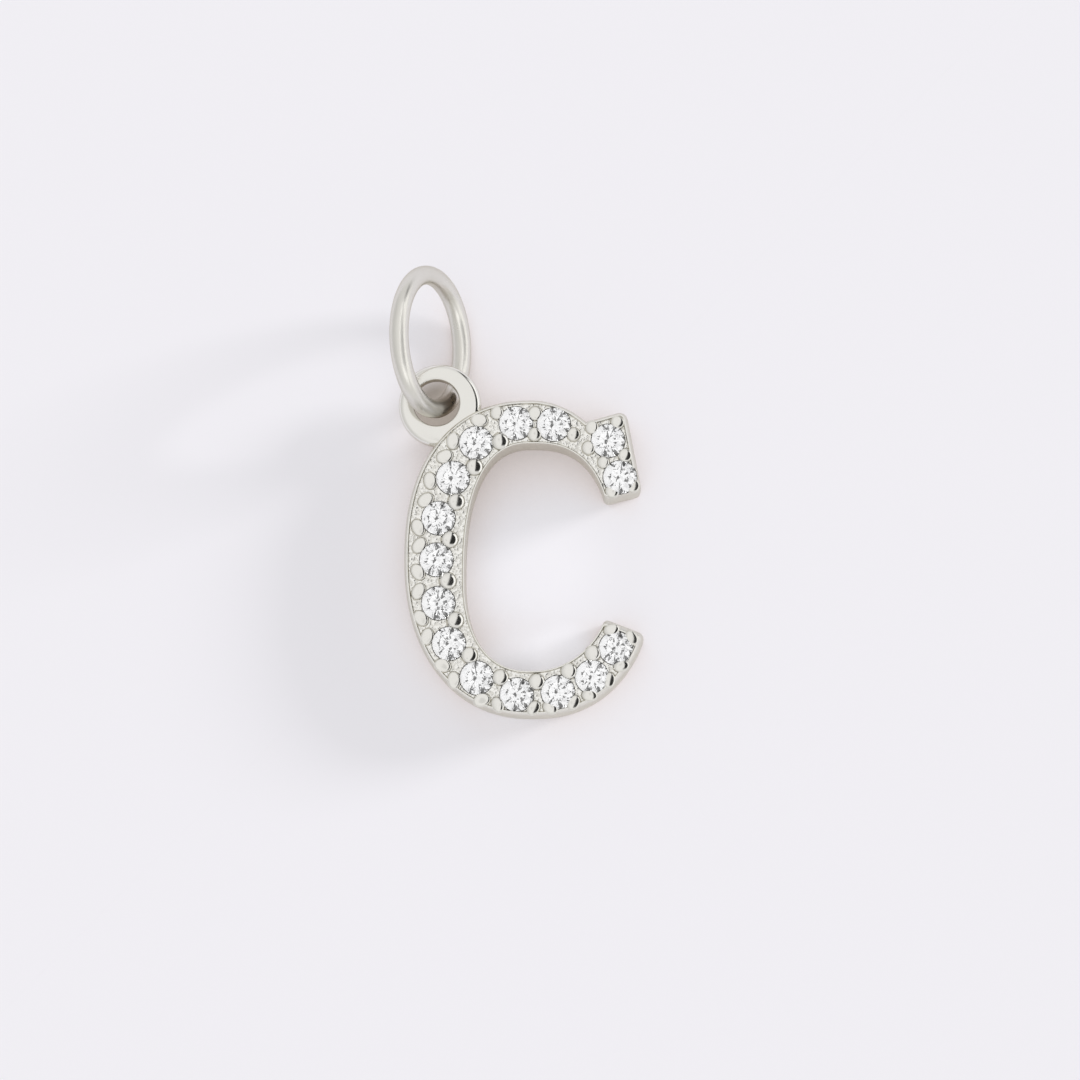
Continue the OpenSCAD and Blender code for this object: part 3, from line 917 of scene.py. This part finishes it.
# Breadth of the sensor in millimetres and of the picture in pixels, and the scale of the photo.
SENSOR_W, PICTURE_W, PIXELS_PER_MM = 36, 1080, 30.7


def set_stage():
    ground = start(bpy.ops.mesh.primitive_plane_add, size=GROUND_W, location=(0, 0, 0))
    ground.name = "ground"
    dress(ground, pale_ground())


def direction(azimuth, elevation):
    """Unit vector to a place in the studio."""
    flat = cos(elevation)
    return Vector((cos(azimuth) * flat, sin(azimuth) * flat, sin(elevation)))


def hang_lamp(data, way):
    """A lamp that shines from a direction of the studio to its middle."""
    lamp = bpy.data.objects.new(data.name, data)
    bpy.context.collection.objects.link(lamp)
    lamp.rotation_mode = "QUATERNION"
    lamp.rotation_quaternion = way.to_track_quat("Z", "Y")
    return lamp


def light_key():
    """The main light, low at the right. The polished metal doesn't mirror it."""
    sun = bpy.data.lights.new("key", "SUN")
    sun.energy, sun.angle, sun.color = KEY_ENERGY, math.radians(KEY_SPREAD), KEY_TONE
    hang_lamp(sun, direction(KEY_AZIMUTH, KEY_ELEVATION)).visible_glossy = False


def light_room():
    """What the metal and the stones mirror: a pale room with a sheet overhead, a dark gap beside
    it, the lamp's screen and the camera's lens."""
    world = bpy.data.worlds.new("studio")
    bpy.context.scene.world = world
    world.use_nodes = True
    world.node_tree.nodes.clear()
    bench = Bench(world.node_tree)
    out = bench.add("OutputWorld")
    way = bench.add("TexCoord").outputs["Generated"]
    up = bench.upward(way)
    path = bench.add("LightPath")
    in_stones = path.outputs["Is Transmission Ray"]

    def along(vector):
        return bench.vector("DOT_PRODUCT", way, vector).outputs["Value"]

    def towards(vector, inner, outer):
        """1 within the inner angle of a direction, fading to 0 at the outer one."""
        return bench.fade(along(vector), cos(outer), cos(inner))

    def levels(low, low_full, high_full, high):
        """1 between two elevations, fading out below and above."""
        return bench.product(
            bench.fade(up, sin(low), sin(low_full)),
            bench.fade(up, sin(high_full), sin(high), 1, 0),
        )

    def changed(value, change):
        """A value that is more by this much for what the stones gather."""
        return bench.math("ADD", value, bench.product(in_stones, change))

    left = bench.fade(along((-1, 0, 0)), *LEFT_FADE)
    room = bench.fade(up, *(sin(v) for v in ROOM_RISE), ROOM_LOW, ROOM_HIGH)
    room = bench.product(room, bench.rest(bench.product(left, LEFT_DIMMER)))
    # The dark gap lies to the right of the sheet, round the screen and not towards the foot.
    shift = changed(SHEET_SHIFT, -SHEET_SHIFT)
    beyond_sheet = bench.fade(
        bench.math("SUBTRACT", along(SHEET_NORMAL), shift), -SHEET_SOFT, SHEET_SOFT
    )
    screen_way = direction(SCREEN_AZIMUTH, SCREEN_ELEVATION)
    screen = bench.product(towards(screen_way, *SCREEN_SPREAD), levels(*SCREEN_LEVELS))
    not_foot = bench.fade(along((0, -1, 0)), *FOOT_FADE, 1, 0)
    gap = bench.product(beyond_sheet, levels(*GAP_LEVELS), bench.rest(screen), not_foot)
    lens = bench.product(towards(CAMERA_BACK, *LENS_SPREAD), changed(LENS_DEPTH, LENS_DARKER))
    gap = bench.product(gap, changed(GAP_DEPTH, -GAP_PALER))
    room = bench.product(room, bench.rest(bench.math("MAXIMUM", gap, lens)))
    room = bench.math("ADD", room, bench.product(screen, SCREEN_LIGHT))
    # What the stones gather is brighter, as their many facets also find the lamps.
    room = bench.scaled(ROOM_TINT, bench.product(room, changed(1.0, STONES_BRIGHTER)))
    colour = bench.mix(path.outputs["Is Camera Ray"], room, BACKDROP)
    back = bench.add("Background", Color=colour, Strength=1.0)
    bench.put(out.inputs["Surface"], back.outputs[0])


def fill_ring():
    """A pale sheet of light for the ring alone, so that its wire stays soft all round."""
    sheet = bpy.data.lights.new("ring_fill", "AREA")
    sheet.shape, sheet.energy = "RECTANGLE", FILL_ENERGY
    sheet.size, sheet.size_y = FILL_L, FILL_W
    place = direction(FILL_AZIMUTH, FILL_ELEVATION)
    lamp = hang_lamp(sheet, place)
    lamp.location = place
    lamp.visible_camera = False
    lit = bpy.data.collections.new("lit_by_ring_fill")
    lit.objects.link(ring)
    lamp.light_linking.receiver_collection = lit


def place_camera():
    """The photo's view: nearly from above, tipped a little towards the foot of the letter."""
    right = Vector((cos(CAMERA_SIDE), 0, -sin(CAMERA_SIDE)))
    data = bpy.data.cameras.new("camera")
    data.sensor_width = SENSOR_W
    data.lens = CAMERA_FAR * SENSOR_W / (PICTURE_W / PIXELS_PER_MM)
    data.clip_start, data.clip_end = 0.01, 10
    camera = bpy.data.objects.new("camera", data)
    bpy.context.collection.objects.link(camera)
    camera.location = (LETTER_AT + CAMERA_AIM + CAMERA_BACK * CAMERA_FAR) * MM
    camera.rotation_mode = "QUATERNION"
    turn = camera.matrix_world.to_3x3()
    turn.col[0], turn.col[1], turn.col[2] = right, CAMERA_BACK.cross(right), CAMERA_BACK
    camera.rotation_quaternion = turn.to_quaternion()
    bpy.context.scene.camera = camera


set_stage()
light_key()
light_room()
fill_ring()
place_camera()
bpy.context.scene.view_settings.view_transform = "Standard"
